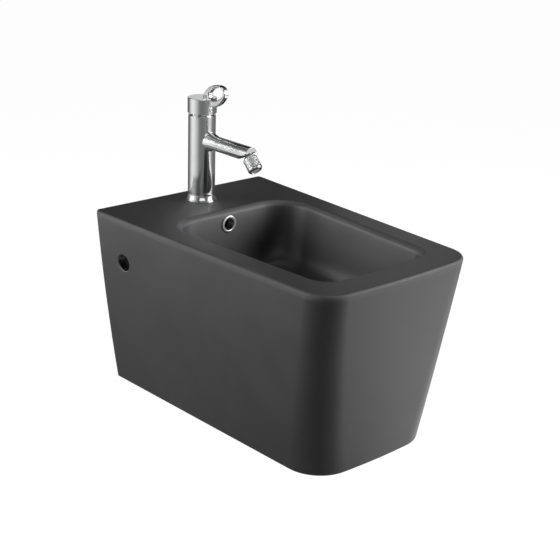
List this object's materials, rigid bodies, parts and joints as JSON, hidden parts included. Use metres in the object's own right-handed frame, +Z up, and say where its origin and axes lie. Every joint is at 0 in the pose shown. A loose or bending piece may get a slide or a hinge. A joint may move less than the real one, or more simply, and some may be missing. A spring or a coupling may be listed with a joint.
{
  "type": "bidet",
  "caption": "Wall-hung bidet with a flat deck and tapered basin, a single-lever mixer tap with a loop handle and swivel nozzle, an overflow and a pop-up waste.",
  "frame": {"origin": "midway between the axes of the two wall studs, in the plane of the wall", "axes": "+X to the right as seen from the front, +Y towards the wall, +Z up"},
  "size_m": [0.3582, 0.5312, 0.5111],
  "materials": {
    "ceramic": "satin",
    "chrome": "polished",
    "steel": "brushed",
    "brass": "machined",
    "rubber": "matt",
    "plastic": "matt",
    "disc_ceramic": "lapped"
  },
  "bodies": {
    "fixed": {"ceramic_body": "ceramic", "overflow_trim": "chrome", "stud_sleeves": "steel", "side_screws": "steel", "side_bushes": "plastic", "tap_body": "chrome", "base_gasket": "rubber", "fixing_stud": "steel", "horseshoe_gasket": "rubber", "horseshoe_plate": "steel", "fixing_nut": "brass", "port_seals": "rubber", "cartridge_base": "plastic", "fixed_disc": "disc_ceramic", "cartridge_housing": "plastic", "clamp_nut": "brass", "spout_tube": "chrome", "spout_seal": "rubber", "swivel_ring": "chrome", "waste_body": "chrome", "waste_top_seal": "rubber", "waste_lower_seal": "rubber", "waste_backnut": "plastic", "click_housing": "brass"},
    "carrier": {"stem_carrier": "plastic", "stem_pin": "steel"},
    "handle": {"lever_handle": "chrome", "cartridge_stem": "brass", "grub_screw": "steel", "index_button": "chrome"},
    "disc": {"moving_disc": "disc_ceramic", "disc_driver": "plastic"},
    "liner": {"swivel_liner": "plastic"},
    "nozzle": {"swivel_ball": "brass", "nozzle_shell": "chrome", "aerator_insert": "plastic", "aerator_seal": "rubber"},
    "plug": {"plug_cap": "chrome", "plug_seal": "rubber", "click_plunger": "brass"}
  },
  "joints": [
    {"name": "handle_turn", "type": "hinge", "parent": "fixed", "child": "carrier", "pos_m": [0, -0.0535, 0.213], "axis": [0, 0, 1], "range_deg": [-45, 45]},
    {"name": "handle_lift", "type": "hinge", "parent": "carrier", "child": "handle", "pos_m": [0, -0.0535, 0.213], "axis": [-1, 0, 0], "range_deg": [0, 20]},
    {"name": "disc_slide", "type": "slide", "parent": "carrier", "child": "disc", "axis": [0, -1, 0], "range_m": [0, 0.0026]},
    {"name": "nozzle_swing", "type": "hinge", "parent": "fixed", "child": "liner", "pos_m": [0, -0.17015, 0.1808], "axis": [0, 0.866, -0.5], "range_deg": [-15, 15]},
    {"name": "nozzle_tilt", "type": "hinge", "parent": "liner", "child": "nozzle", "pos_m": [0, -0.17015, 0.1808], "axis": [1, 0, 0], "range_deg": [0, 30]},
    {"name": "plug_travel", "type": "slide", "parent": "fixed", "child": "plug", "axis": [0, 0, 1], "range_m": [0, 0.007]}
  ],
  "couplings": [
    {"joint": "disc_slide", "follows": "handle_lift", "m_per_rad": 0.0073}
  ]
}
